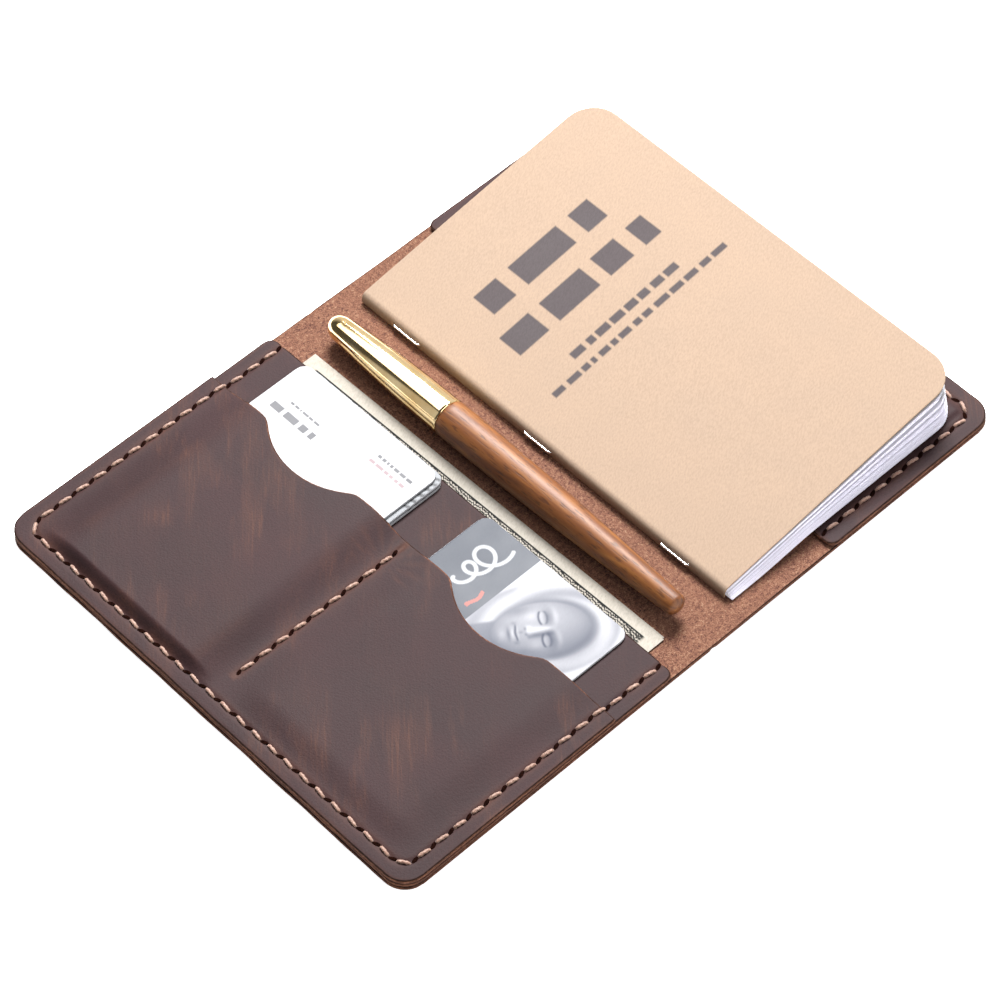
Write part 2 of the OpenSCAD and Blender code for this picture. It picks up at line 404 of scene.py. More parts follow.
def waxed_leather(name, dark, light, worn):
    """Dark waxed leather that pulls up lighter in streaks of fibres and where it is worn."""
    s = Shader(name)
    cloud = s.noise(30, detail=3)
    streak = s.noise(7, stretch=(1, 5, 1), turn=STREAK_TURN, detail=4, roughness=0.55, distortion=0.3)
    fibres = s.noise(0.6, stretch=(1, 22, 1), turn=STREAK_TURN, detail=3)
    grain = s.noise(0.5, detail=4, roughness=0.6)
    pores = s.cells(0.7)
    base = s.mix(s.ramp(cloud, (0.33, 0), (0.68, 1)), dark, light)
    zone = s.ramp(s.noise(38, detail=2), (0.47, 0.12), (0.60, 1))
    patches = s.maths("MULTIPLY", s.ramp(streak, (0.46, 0), (0.72, 1)), zone)
    base = s.mix(s.maths("MULTIPLY", patches, 0.20), base, worn)
    lines = s.maths("MULTIPLY", s.ramp(fibres, (0.50, 0), (0.64, 1)), patches)
    base = s.mix(s.maths("MULTIPLY", lines, 0.42), base, worn)
    base = s.mix(s.attribute("wear").outputs["Fac"], base, worn)
    base = s.mix(s.maths("MULTIPLY", s.ramp(grain, (0.35, 1), (0.6, 0)), 0.18), base, srgb(24, 14, 14))
    rough = s.ramp(s.maths("ADD", s.maths("MULTIPLY", cloud, 0.6), s.maths("MULTIPLY", grain, 0.4)),
                   (0.3, 0.52), (0.7, 0.66))
    s.relief((pores, 0.025), (grain, 0.045), (fibres, 0.015))
    return s.finish(Base_Color=base, Roughness=rough, Specular_IOR_Level=0.10)


def raw_edge(name):
    """Cut edge of stacked leather, with a dark line of painted shade where two layers meet, for the groove
    between them.
    """
    s = Shader(name)
    fibre = s.noise(0.5, stretch=(2.5, 2.5, 0.5), detail=4, roughness=0.7)
    patch = s.noise(3.5, stretch=(3, 3, 0.25), detail=3)
    base = s.ramp(fibre, (0.3, srgb(84, 50, 38)), (0.52, srgb(150, 98, 74)), (0.75, srgb(226, 160, 126)))
    base = s.mix(s.ramp(patch, (0.4, 0), (0.62, 0.7)), base, srgb(86, 54, 44))
    height_z = s.node("SeparateXYZ", {"Vector": s.place}).outputs[2]
    depth = s.maths("FRACT", s.maths("DIVIDE", height_z, leather_t))
    # Painted shade: darker near the top and bottom of each layer, where the groove between layers lies.
    base = s.mix(s.ramp(depth, (0.06, 0.85), (0.24, 0), (0.76, 0), (0.94, 0.85)), base, srgb(20, 12, 11))
    s.relief((fibre, 0.16))
    return s.finish(Base_Color=base, Roughness=0.85, Specular_IOR_Level=0.1)


def suede(name):
    s = Shader(name)
    grit = s.noise(0.42, detail=3, roughness=0.7)
    clump = s.noise(1.1, detail=3, roughness=0.6)
    broad = s.noise(22, detail=3)
    mixed = s.maths("ADD", s.maths("MULTIPLY", grit, 0.62), s.maths("MULTIPLY", clump, 0.38))
    base = s.ramp(mixed, (0.36, srgb(84, 50, 44)), (0.47, srgb(162, 108, 88)),
                  (0.57, srgb(198, 142, 112)), (0.68, srgb(243, 199, 164)))
    base = s.mix(s.ramp(broad, (0.35, 0), (0.7, 0.3)), base, srgb(184, 126, 98))
    s.relief((clump, 0.25), (grit, 0.3))
    return s.finish(Base_Color=base, Roughness=0.9, Specular_IOR_Level=0.25)


def thread(name):
    s = Shader(name)
    fibre = s.noise(0.22, stretch=(3, 1, 1), turn=0.6, detail=3)
    patch = s.noise(5, detail=2)
    base = s.ramp(fibre, (0.3, srgb(160, 106, 86)), (0.5, srgb(224, 172, 146)),
                  (0.75, srgb(255, 222, 202)))
    base = s.mix(s.ramp(patch, (0.4, 0), (0.7, 0.5)), base, srgb(204, 146, 122))
    s.relief((fibre, 0.06))
    return s.finish(Base_Color=base, Roughness=0.55, Sheen_Weight=0.25)


# Painted shade: near-black colour for the lenses that stand for the shadow inside stitch holes.
def painted_hole_shade(name):
    s = Shader(name)
    fibre = s.noise(0.4, detail=2)
    base = s.ramp(fibre, (0.3, srgb(16, 9, 8)), (0.8, srgb(60, 32, 25)))
    return s.finish(Base_Color=base, Roughness=0.9, Specular_IOR_Level=0.0)


def printed(name, roughness, fibre_size, fibre_share, relief):
    """Card or paper in its painted colours."""
    s = Shader(name)
    fibre = s.noise(fibre_size, stretch=(2.2, 1, 1), turn=0.5, detail=4, roughness=0.6)
    cloud = s.noise(14, detail=3)
    base = s.attribute("col").outputs["Color"]
    base = s.mix(s.ramp(fibre, (0.3, fibre_share), (0.62, 0)), base, srgb(120, 104, 92), "MULTIPLY")
    base = s.mix(s.ramp(cloud, (0.35, 0.05), (0.65, 0)), base, srgb(150, 140, 130), "MULTIPLY")
    rough = s.ramp(cloud, (0.3, roughness - 0.05), (0.7, roughness + 0.06))
    s.relief((fibre, relief))
    return s.finish(Base_Color=base, Roughness=rough, Specular_IOR_Level=0.15)


def paper_edge(name, tint, painted_glow=0.0):
    """Cut edges of paper or card. The glow is painted light: an emission that keeps the edges bright where
    they lie in shade.
    """
    s = Shader(name)
    shaded = tuple(0.6 * value for value in tint)
    fibre = s.noise(0.5, stretch=(4, 4, 0.6), detail=3)
    base = s.mix(s.ramp(fibre, (0.35, 0.25), (0.6, 0)), tint, shaded)
    return s.finish(Base_Color=base, Roughness=0.8, Emission_Color=(0.90, 0.88, 1.0, 1),
                    Emission_Strength=painted_glow)


def pen_wood(name):
    s = Shader(name)
    figure = s.noise(2.2, stretch=(1, 14, 1), detail=4, roughness=0.55, distortion=0.6)
    broad = s.noise(6, stretch=(1, 4, 1), detail=2)
    pores = s.noise(0.42, stretch=(1, 9, 1), detail=2, roughness=0.4)
    base = s.ramp(figure, (0.32, srgb(132, 74, 30)), (0.5, srgb(182, 108, 46)), (0.68, srgb(216, 142, 70)))
    base = s.mix(s.ramp(broad, (0.4, 0), (0.7, 0.4)), base, srgb(156, 88, 42))
    base = s.mix(s.ramp(pores, (0.57, 0), (0.66, 0.6)), base, srgb(84, 44, 22))
    s.relief((s.ramp(pores, (0.58, 1), (0.68, 0)), 0.02))
    return s.finish(Base_Color=base, Roughness=0.52, Specular_IOR_Level=0.35, Coat_Weight=0.06,
                    Coat_Roughness=0.34)


def metal(name, first, second, low, high, stretch):
    s = Shader(name, Metallic=1.0)
    brush = s.noise(0.8, stretch=stretch, detail=3)
    cloud = s.noise(9, detail=3)
    base = s.mix(s.ramp(cloud, (0.35, 0), (0.65, 1)), first, second)
    s.relief((brush, 0.002))
    return s.finish(Base_Color=base, Roughness=s.ramp(brush, (0.3, low), (0.7, high)))


mat_leather = waxed_leather("leather_outer", srgb(74, 50, 52), srgb(92, 66, 68), srgb(158, 104, 80))
mat_edge_layer_shade = raw_edge("leather_edge_layer_shade")
mat_suede = suede("leather_suede")
mat_thread = thread("thread")
mat_hole_shade = painted_hole_shade("stitch_hole_shade")
mat_white_card = printed("card_white", 0.45, 0.6, 0.05, 0.002)
mat_grey_card = printed("card_grey", 0.45, 0.6, 0.06, 0.002)
mat_note = printed("banknote", 0.72, 0.5, 0.22, 0.02)
mat_kraft = printed("kraft", 0.75, 0.45, 0.16, 0.02)
mat_pages = printed("pages", 0.8, 0.5, 0.05, 0.01)
mat_card_edge = paper_edge("card_edge", srgb(250, 250, 255))
mat_kraft_edge = paper_edge("kraft_edge", srgb(226, 188, 146))
# The page edges glow: painted light that keeps them bright in the cover's shade.
mat_painted_light_leaf_edge = paper_edge("painted_light_leaf_edge", (0.88, 0.87, 0.96), painted_glow=0.28)
mat_wood = pen_wood("pen_wood")
TURNED, DRAWN = (1, 0.2, 1), (1, 3, 1)
mat_brass = metal("pen_brass", linear(244, 220, 172), linear(230, 196, 138), 0.08, 0.13, TURNED)
mat_steel = metal("pen_steel", linear(214, 216, 220), linear(180, 182, 188), 0.18, 0.3, TURNED)
mat_staple = metal("staple", linear(246, 246, 248), linear(220, 222, 226), 0.16, 0.28, DRAWN)


# ---------- Seams ----------

def outline_distance(x, y, radius=corner_r):
    """Distance inwards from the outline of the left panels, which are open to the right."""
    near = np.minimum(y, case_h - y)
    cx, cy = radius - x, radius - near
    return np.where((cx > 0) & (cy > 0), radius - np.hypot(cx, cy), np.minimum(near, x))


def seam_distance(x, y):
    return outline_distance(x, y, seam_inset + seam_r) - seam_inset


def seam_groove(x, y):
    return bump(seam_distance(x, y), GROOVE_W)


def seam_stitches(run):
    """Middles of the stitches as (x, y, direction) round three sides, and of the gaps between."""
    r, centre = seam_r, seam_inset + seam_r
    turn = np.linspace(0, math.pi / 2, 16)
    path = [(run, case_h - seam_inset)]
    path += [(centre - r * math.sin(a), case_h - centre + r * math.cos(a)) for a in turn]
    path += [(centre - r * math.cos(a), centre - r * math.sin(a)) for a in turn]
    path.append((run, seam_inset))
    path = np.array(path)
    length = np.concatenate([[0], np.cumsum(np.linalg.norm(np.diff(path, axis=0), axis=1))])
    count = int(length[-1] / stitch_pitch)

    def at(s):
        x, y = (np.interp(s, length, path[:, k]) for k in range(2))
        x2, y2 = (np.interp(s + 0.5, length, path[:, k]) for k in range(2))
        x1, y1 = (np.interp(s - 0.5, length, path[:, k]) for k in range(2))
        return x, y, math.atan2(y2 - y1, x2 - x1)
    pitch = length[-1] / count
    return [at((i + 0.5) * pitch) for i in range(count)], [at(i * pitch) for i in range(count + 1)]


def thread_run(place, height, side, seed):
    """One stitch of two-ply twisted thread, dipping into the leather at both ends."""
    rng = np.random.default_rng(seed)
    x, y, direction = place
    direction += math.radians(-STITCH_TURN + rng.uniform(-2.5, 2.5)) * side
    half = STITCH_HALF + rng.uniform(-0.12, 0.12)
    rings, sides = 21, 14
    t = np.linspace(-1, 1, rings)[:, None]
    angle = np.linspace(0, 2 * math.pi, sides, endpoint=False)[None, :]
    body = THREAD_R * np.sqrt(np.clip(1 - np.abs(t) ** 5, 0.05, 1))
    twist = t * half * 2.3 * side + seed
    r = body * (1 + 0.11 * np.cos(2 * (angle - twist)))
    lift = 0.16 - 0.5 * np.abs(t) ** 3
    across = r * np.cos(angle)
    up = (r * np.sin(angle) * 0.92 + lift) * side
    px = x + t * half * math.cos(direction) - across * math.sin(direction)
    py = y + t * half * math.sin(direction) + across * math.cos(direction)
    points = np.stack([px, py, height + up], -1).reshape(-1, 3)
    untwisted = np.stack([t * half + 0 * angle + 10 * seed, across, up], -1).reshape(-1, 3)
    faces = [*tube_faces(rings, sides), first_ring(sides)[::-1], last_ring(rings, sides)]
    if side > 0:
        faces = [f[::-1] for f in faces]
    return points, untwisted, faces


def hole_shade_lens(place, height, side):
    """Painted shade: a dark shallow lens in the groove, for the shadow in the slanted slot where the
    thread goes through.
    """
    x, y, direction = place
    direction += math.radians(HOLE_TURN) * side
    points = []
    sides = 14
    rings = ((1.0, -0.25), (0.8, 0.02), (0.4, 0.05))
    for ring, rise in rings:
        for k in range(sides):
            a = 2 * math.pi * k / sides
            along, across = HOLE_L / 2 * ring * math.cos(a), HOLE_W / 2 * ring * math.sin(a)
            points.append((x + along * math.cos(direction) - across * math.sin(direction),
                           y + along * math.sin(direction) + across * math.cos(direction),
                           height + rise * side))
    faces = [*tube_faces(len(rings), sides), last_ring(len(rings), sides), first_ring(sides)[::-1]]
    if side < 0:
        faces = [f[::-1] for f in faces]
    return np.array(points), np.array(points), faces


def joined(name, parts, material):
    """One object from parts given as (points, flat places, faces)."""
    points, flats, faces, offset = [], [], [], 0
    for part_points, part_flat, part_faces in parts:
        points.append(part_points)
        flats.append(part_flat)
        faces += [tuple(i + offset for i in f) for f in part_faces]
        offset += len(part_points)
    return new_object(name, np.concatenate(points), faces, [material], rest=np.concatenate(flats))


def seam(name, stitches, gaps, top_height, node, body, mirror=False, outside=True):
    """Thread along a seam, with dark lenses of painted shade at its holes, on the inner faces and, when
    outside is set, on the cover.
    """
    def flip(place):
        return (case_w - place[0], place[1], math.pi - place[2]) if mirror else place
    runs, hole_shades = [], []
    for k, place in enumerate(stitches):
        place = flip(place)
        runs.append(thread_run(place, top_height(place[0]) - 0.06, 1, k + 1))
        if outside:
            runs.append(thread_run(place, 0.62, -1, k + 301))
    for place in gaps:
        place = flip(place)
        hole_shades.append(hole_shade_lens(place, top_height(place[0]) - 0.14, 1))
        if outside:
            hole_shades.append(hole_shade_lens(place, 0.5, -1))
    sewn = joined(name, runs, mat_thread)
    fit(sewn, node, body)
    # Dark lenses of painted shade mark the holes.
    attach(joined(name + "_hole_shade", hole_shades, mat_hole_shade), body)


# ---------- Leather panels ----------

# Fine cells follow the seams and rounded corners, as zones across (x) and along (y) the case
FINE = 0.36
left_seam, right_seam = [(2.6, 10.0)], [(case_w - 10, case_w - 2.6)]
end_seams = [(0, 10.2), (case_h - 10.2, case_h)]
left_columns = steps(edge_r, bill_w - edge_r, 1.1, FINE, left_seam)
side_rows = steps(edge_r, case_h - edge_r, 1.3, FINE, end_seams)
pocket_rows = steps(edge_r, case_h - edge_r, 1.1, FINE, end_seams + [(divider_y - 2, divider_y + 2)])


def cut_edge(seed, inset):
    """Left side of a panel that was cut by hand, a little inside the outline."""
    corner = corner_inset(edge_r, case_h - edge_r, corner_r - edge_r)
    return lambda y: corner(y) + inset + 0.07 * waves(y, y * 0, 17, seed)


leather = [mat_leather, mat_edge_layer_shade, mat_suede]


def worn_rim(x, y):
    """Rubbed lighter leather close to the outline, and beside the seam."""
    d = outline_distance(x, y)
    patchy = 0.55 + 0.45 * waves(x, y, 22, 5)
    return np.clip(0.4 * bump(d, 0.8) * patchy + 0.3 * bump(seam_distance(x, y), 1.5) * patchy, 0, 0.7)


def flat_panel_top(z):
    return lambda x, y: z - GROOVE_DEPTH * seam_groove(x, y) + 0.05 * waves(x, y, 30, 3)


def outer_bottom(x, y):
    """Outside of the cover: a groove takes the thread, so nothing stands below the leather."""
    groove = np.where(x < spine_mid, seam_groove(x, y), seam_groove(case_w - x, y))
    return 0.02 + 0.75 * groove * ((x < bill_w - 1.5) | (x > sleeve_x + 2))


def fold_top(x, y):
    """Inner face of the cover, with a slight dip along each fold."""
    dip = bump(x - fold_left, 2.2) + bump(x - fold_right, 2.2)
    ripple = 0.12 * waves(x, y, 26, 11) * smooth((x - bill_w) / 4) * smooth((sleeve_x - x) / 8)
    return leather_t - 0.02 - 0.07 * dip + np.minimum(ripple, 0.0)


fold_zones = [(fold_left - 5, fold_left + 5), (fold_right - 5, fold_right + 5)]
cover_materials = [mat_suede, mat_edge_layer_shade, mat_leather]
cover_left = slab(
    "cover_left", steps(edge_r, spine_mid, 1.2, 0.45, left_seam + fold_zones), side_rows,
    fold_top, outer_bottom, cover_materials, left=cut_edge(31, 0.0),
    flush=lambda x, y: x > spine_mid - 0.01)
cover_right = slab(
    "cover_right", steps(spine_mid, case_w - edge_r, 1.2, 0.45, fold_zones + right_seam), side_rows,
    fold_top, outer_bottom, cover_materials, right=cut_edge(32, 0.0),
    flush=lambda x, y: x < spine_mid + 0.01)
for cover, nodes in ((cover_left, ["cover_front"]), (cover_right, ["cover_back", "cover_spine"])):
    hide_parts(*nodes)
blend_reach = 3.2
mid_y = case_h / 2
to_frame((fold_left + blend_reach, mid_y, leather_t))
to_frame((fold_left - blend_reach, mid_y, leather_t))
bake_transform(cover_left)
to_frame((fold_right - blend_reach, mid_y, leather_t))
to_frame((fold_right + blend_reach, mid_y, leather_t))
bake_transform(cover_right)

note_recess = 0.5
recess_inset = seam_inset + 3


def bill_bottom(x, y):
    inside = smooth((outline_distance(x, y) - recess_inset + 0.6) / 0.6)
    return leather_t + 0.01 + (note_recess - 0.02) * inside


bill_panel = slab(
    "banknote_pocket_panel", left_columns, side_rows, flat_panel_top(panel_z), bill_bottom, leather,
    left=cut_edge(33, 0.22), right=corner_inset(edge_r, case_h - edge_r, 2.4), wear=worn_rim)
fit(bill_panel, "bill_pocket", "front_cover")

# Card pocket: raised over the cards, with two thumb notches
cards = {name: box_mm(name) for name in ("card_top", "card_middle", "card_bottom", "card_lower")}
stack_top = cards["card_top"][1][2]
lower_top = cards["card_lower"][1][2]
upper_rise = stack_top + leather_t - flange_z + 0.06
lower_rise = lower_top + leather_t - flange_z + 0.06
notch_depth, notch_w, notch_blend = 7.0, 35.0, 1.2
notch_r = ((notch_w / 2) ** 2 + notch_depth ** 2) / (2 * notch_depth)
notch_centres = (115.4, 43.4)


def notch_inset(y):
    total = np.zeros(np.shape(y))
    for centre in notch_centres:
        arc = notch_depth - notch_r + np.sqrt(np.maximum(0.01, notch_r ** 2 - (y - centre) ** 2))
        total += (arc + np.sqrt(arc * arc + notch_blend)) / 2
    return total


bulge_start, divider_gap = 5.6, 1.2


def pocket_bulge(x, y):
    """How far the leather stands above the flange over the two sets of cards."""
    side = smooth((x - bulge_start + 0.5) / 3.5)
    upper = side * smooth((y - divider_y - divider_gap) / 13) * smooth((case_h - bulge_start - y) / 15)
    lower = smooth((divider_y - divider_gap - y) / 12) * smooth((y - bulge_start) / 12)
    lower *= smooth((x - bulge_start) / 9)
    soft = 0.1 * waves(x, y, 34, 21)
    return (upper_rise + soft) * upper + (lower_rise + soft) * lower


def divider_crease(x, y):
    """Creases that spread from the end of the divider seam to the pocket's mouth."""
    dx, dy = x - (pocket_w - 9), y - divider_y
    reach = np.hypot(dx, dy)
    fan = np.cos(np.arctan2(dy, dx) * 7) ** 6
    return fan * np.exp(-((reach - 7) / 5) ** 2) * (dx > -2)


def divider_groove(x, y):
    return bump(y - divider_y, GROOVE_W) * smooth((x - 12) / 3) * smooth((pocket_w - x) / 2)


def pocket_top(x, y):
    groove = np.maximum(seam_groove(x, y), divider_groove(x, y))
    relief = GROOVE_DEPTH * groove + 0.035 * divider_crease(x, y)
    return flange_z + pocket_bulge(x, y) - relief


card_room = 0.4


def pocket_bottom(x, y):
    """Underside of the pocket's leather, never lower than the cards in it."""
    room = np.full(np.shape(x), panel_z + 0.01)
    under = pocket_top(x, y) - leather_t
    for group, top in ((("card_top", "card_middle", "card_bottom"), stack_top),
                       (("card_lower",), lower_top)):
        low = min(cards[n][0][1] for n in group) - card_room
        high = max(cards[n][1][1] for n in group) + card_room
        first = min(cards[n][0][0] for n in group) - card_room
        over = (x > first) & (y > low) & (y < high)
        room = np.where(over, top + 0.05, room)
    return np.minimum(np.maximum(under, room), pocket_top(x, y) - 0.12)


def pocket_wear(x, y):
    mouth = pocket_w - notch_inset(y) - x
    rise = pocket_bulge(x, y)
    shoulder = bump(rise - upper_rise * 0.8, 0.35) * (y > divider_y) * 0.08
    patchy = 0.5 + 0.5 * waves(x, y, 18, 8)
    worn = worn_rim(x, y) + 0.2 * bump(mouth, 0.6) * patchy + shoulder * patchy
    worn += 0.14 * divider_crease(x, y) + 0.3 * bump(y - divider_y, 1.5) * (x > 12)
    return np.clip(worn, 0, 0.75)


card_pocket = slab(
    "card_pocket_panel", steps(edge_r, pocket_w - edge_r, 0.9, FINE, left_seam), pocket_rows,
    pocket_top, pocket_bottom, leather, left=cut_edge(34, 0.08), right=notch_inset, wear=pocket_wear)
fit(card_pocket, "card_pocket", "front_cover")

# Sleeve over the notebook's back cover
sleeve_rise = sleeve_high[2] - panel_z


def sleeve_bulge(x, y):
    start, slope = 6.4, 2.2
    ends = smooth((y - start) / slope) * smooth((case_h - start - y) / slope)
    return sleeve_rise * smooth((case_w - 5.4 - x) / 2.4) * ends


def sleeve_top(x, y):
    return panel_z + sleeve_bulge(x, y) - GROOVE_DEPTH * seam_groove(case_w - x, y)


def sleeve_bottom(x, y):
    over = (x < book_high[0] + 0.2) & (y > book_low[1] - 0.3) & (y < book_high[1] + 0.3)
    return np.where(over, leather_t + sleeve_rise - 0.02, leather_t + 0.01)


sleeve = slab(
    "notebook_sleeve_panel", steps(sleeve_x + edge_r, case_w - edge_r, 1.1, FINE, right_seam), side_rows,
    sleeve_top, sleeve_bottom, leather, left=corner_inset(edge_r, case_h - edge_r, 2.2),
    right=cut_edge(35, 0.12),
    wear=lambda x, y: worn_rim(case_w - x, y) + 0.3 * bump(x - sleeve_x, 0.8))
fit(sleeve, "notebook_sleeve", "back_cover")

pocket_seam, pocket_gaps = seam_stitches(bill_w - 1.5)
seam("pocket_seam", pocket_seam, pocket_gaps,
     lambda x: panel_z if x > pocket_w else flange_z, "pocket_stitches", "front_cover")
sleeve_seam, sleeve_gaps = seam_stitches(case_w - sleeve_x - 2)
seam("sleeve_seam", sleeve_seam, sleeve_gaps, lambda x: panel_z, "sleeve_stitches", "back_cover",
     mirror=True)
divider_x = np.arange(divider_low[0] + 2.1, pocket_w - 2, stitch_pitch)
seam("divider_seam", [(x, divider_y, 0.0) for x in divider_x],
     [(x - stitch_pitch / 2, divider_y, 0.0) for x in [*divider_x, divider_x[-1] + stitch_pitch]],
     lambda x: flange_z, "divider_stitches", "front_cover", outside=False)


# ---------- Cards and banknotes ----------

def colours(x, base):
    """One colour for every point."""
    return np.tile(np.asarray(base, float), (len(x), 1))


def over_paint(paint, share, colour):
    share = np.clip(share, 0, 1)[:, None]
    return paint * (1 - share) + np.asarray(colour) * share


def bars(x, y, rows):
    """Rows of short bars that stand for printed lines: (y, start, end, height, seed)."""
    ink = np.zeros(len(x))
    for centre, start, end, height, seed in rows:
        rng = np.random.default_rng(seed)
        place = start
        while place < end:
            width = height * rng.uniform(0.6, 2.4)
            inside = (np.abs(x - place - width / 2) < width / 2) & (np.abs(y - centre) < height / 2)
            ink = np.maximum(ink, inside)
            place += width + height * 0.5
    return ink


def white_card_paint(x, y):
    paint = colours(x, srgb(270, 270, 272))
    low, high = cards["card_top"]
    # Rows run along y: a heavy name, a fine line under it, and two fine lines at the other end
    ink = bars(y, x, [(high[0] - 15.5, high[1] - 21, high[1] - 7, 2.4, 3),
                      (high[0] - 11.8, high[1] - 19, high[1] - 8, 0.9, 4),
                      (high[0] - 7.2, low[1] + 3.5, low[1] + 17, 1.0, 5)])
    paint = over_paint(paint, ink * 0.85, srgb(96, 96, 106))
    reds = bars(y, x, [(high[0] - 9.6, low[1] + 4, low[1] + 16, 1.1, 6)])
    return over_paint(paint, reds * 0.7, srgb(178, 120, 132))


def striped_card_paint(x, y):
    paint = colours(x, srgb(206, 210, 216))
    wave = np.sin(x * 2.6 + 1.4 * np.sin(y * 1.3) + 0.8 * np.sin(x * 0.41))
    zone = smooth((x - cards["card_top"][1][0] + 15.3) / 3)
    return over_paint(paint, smooth((wave - 0.1) * 4) * zone * 0.85, srgb(52, 52, 58))


lower_card_low, lower_card_high = cards["card_lower"]
picture_w = 33.0
head_x, head_y, head_size = lower_card_high[0] - 15.1, lower_card_low[1] + 16.9, 15.5
head_up = (0.82, -0.57)
flourish_x, flourish_y = lower_card_low[0] + 72.5, lower_card_low[1] + 43.5
dash_x, dash_y, dash_l = lower_card_low[0] + 61.5, lower_card_low[1] + 35.9, 6.5


def over(base, top, share):
    return base * (1 - share) + top * share


def soft_disc(p, q, middle, tall, wide, edge):
    """An oval on the head's centre line."""
    return smooth((1 - np.hypot((p - middle) / tall, q / wide)) / edge + 0.5)


def spot(p, q, up, across, tall, wide):
    """A soft patch of light or shade."""
    return np.exp(-((p - up) / tall) ** 2 - ((q - across) / wide) ** 2)


def stroke(rise, half):
    """A soft line where rise is 0."""
    return np.exp(-(rise / half) ** 2)


def scribble(x, y, middle_x, middle_y, width):
    """Ink along a line of growing loops."""
    away = np.full(len(x), 99.0)
    for t in np.linspace(0, 1, 420):
        turn, reach = 2 * math.pi * 2.6 * t, 1.6 + 2.9 * t
        line_x = middle_x + 14 * (t - 0.5) - reach * math.sin(turn)
        away = np.minimum(away, np.hypot(x - line_x, y - middle_y - reach * math.cos(turn)))
    return smooth((width - away) / 0.25 + 0.5)


def hooded_head(p, q):
    """Shade of the veil, its folds and the neck, and the dark rim of the veil round the face."""
    shade = 0.96 + 0.03 * np.sin(p * 3 + q * 2)
    hood = soft_disc(p, q, 0.1, 1.2, 0.92, 0.1)
    drape = smooth((1.05 + 0.25 * p - np.abs(q)) / 0.1) * smooth((-0.1 - p) / 0.3)
    folds = 0.13 * np.sin(11 * np.hypot(p - 0.3, q * 1.2) + 3 * q) - 0.22 * np.clip(-q, 0, 1)
    shade = over(shade, 0.84 + folds, np.maximum(hood, drape))
    neck = smooth((0.34 - np.abs(q)) / 0.08) * smooth((-0.55 - p) / 0.1)
    shade = over(shade, 0.46 + 0.3 * q, neck)
    return over(shade, 0.34 + 0.2 * (q + 0.5), soft_disc(p, q, 0.03, 0.9, 0.62, 0.22))


def side_features(p, q, side):
    """Eye, brow, cheek, nostril and corner of the mouth on one side."""
    across = q - side * 0.23
    lid = smooth((1 - np.hypot((p - 0.045) / 0.075, across / 0.15)) / 0.4)
    eye_w = smooth((0.16 - np.abs(across)) / 0.05)
    change = 0.13 * lid - 0.22 * spot(p, across, 0.13, 0, 0.10, 0.17)
    change -= 0.20 * stroke(p - 0.115 + 1.8 * across ** 2, 0.028) * eye_w
    change -= 0.46 * stroke(p + 0.025 - 1.6 * across ** 2, 0.02) * eye_w
    change += 0.14 * stroke(p - 0.26 + 0.9 * across ** 2, 0.05) * stroke(across, 0.18)
    change -= 0.20 * spot(p, q, -0.275, side * 0.06, 0.025, 0.035)
    change += 0.10 * spot(p, q, -0.22, side * 0.085, 0.05, 0.035)
    change -= 0.16 * spot(p, q, -0.34, side * 0.43, 0.22, 0.1)
    change += 0.12 * spot(p, q, -0.14, side * 0.3, 0.13, 0.1)
    return change - 0.14 * spot(p, q, -0.45, side * 0.2, 0.05, 0.035)


def middle_features(p, q):
    """Nose with its shaded side, lips and chin."""
    bridge = smooth((p + 0.29) / 0.06) * smooth((0.24 - p) / 0.16)
    nose_w = 0.045 + 0.035 * smooth((0.05 - p) / 0.3)
    change = (0.24 * stroke(q - 0.015, nose_w) - 0.30 * stroke(q + 0.10, 0.05)) * bridge
    change -= 0.12 * spot(p, q, -0.36, 0, 0.04, 0.03)
    mouth = smooth((0.2 - np.abs(q)) / 0.08)
    change -= 0.46 * stroke(p + 0.445 - 0.5 * q * q + 0.006 * np.cos(q * 26), 0.018) * mouth
    change += 0.10 * stroke(p + 0.405 + 0.6 * q * q, 0.02) * mouth
    change += 0.20 * spot(p, q, -0.495, 0, 0.032, 0.11)
    change -= 0.24 * spot(p, q, -0.565, 0, 0.028, 0.12)
    return change + 0.14 * spot(p, q, -0.68, 0, 0.07, 0.12)


def calm_face(p, q):
    """Shade, 0 dark to 1 light, of a hooded stone head with closed eyes. p is up, q is across."""
    round_off = np.clip(1 - (p + 0.02) ** 2 / 0.78 - q ** 2 / 0.36, 0, 1) ** 0.5
    skin = 0.34 + 0.40 * round_off + 0.34 * q + middle_features(p, q)
    for side in (-1, 1):
        skin += side_features(p, q, side)
    return np.clip(over(hooded_head(p, q), skin, soft_disc(p, q, -0.02, 0.84, 0.55, 0.1)), 0, 1)


def grey_card_paint(x, y):
    paint = colours(x, srgb(108, 114, 127))
    dx, dy = (x - head_x) / head_size, (y - head_y) / head_size
    p, q = dx * head_up[0] + dy * head_up[1], dy * head_up[0] - dx * head_up[1]
    shade = calm_face(p, q)[:, None] ** 2.3
    picture = srgb(70, 80, 108) * (1 - shade) + srgb(255, 255, 262) * shade
    paint = over_paint(paint, (y < lower_card_low[1] + picture_w).astype(float), picture)
    swirl = scribble(x, y, flourish_x, flourish_y, 0.55)
    paint = over_paint(paint, swirl, srgb(244, 246, 250))
    dash = (np.abs(y - dash_y - 0.4 * np.sin(x)) < 0.6) & (x > dash_x) & (x < dash_x + dash_l)
    return over_paint(paint, dash * 0.9, srgb(236, 136, 122))


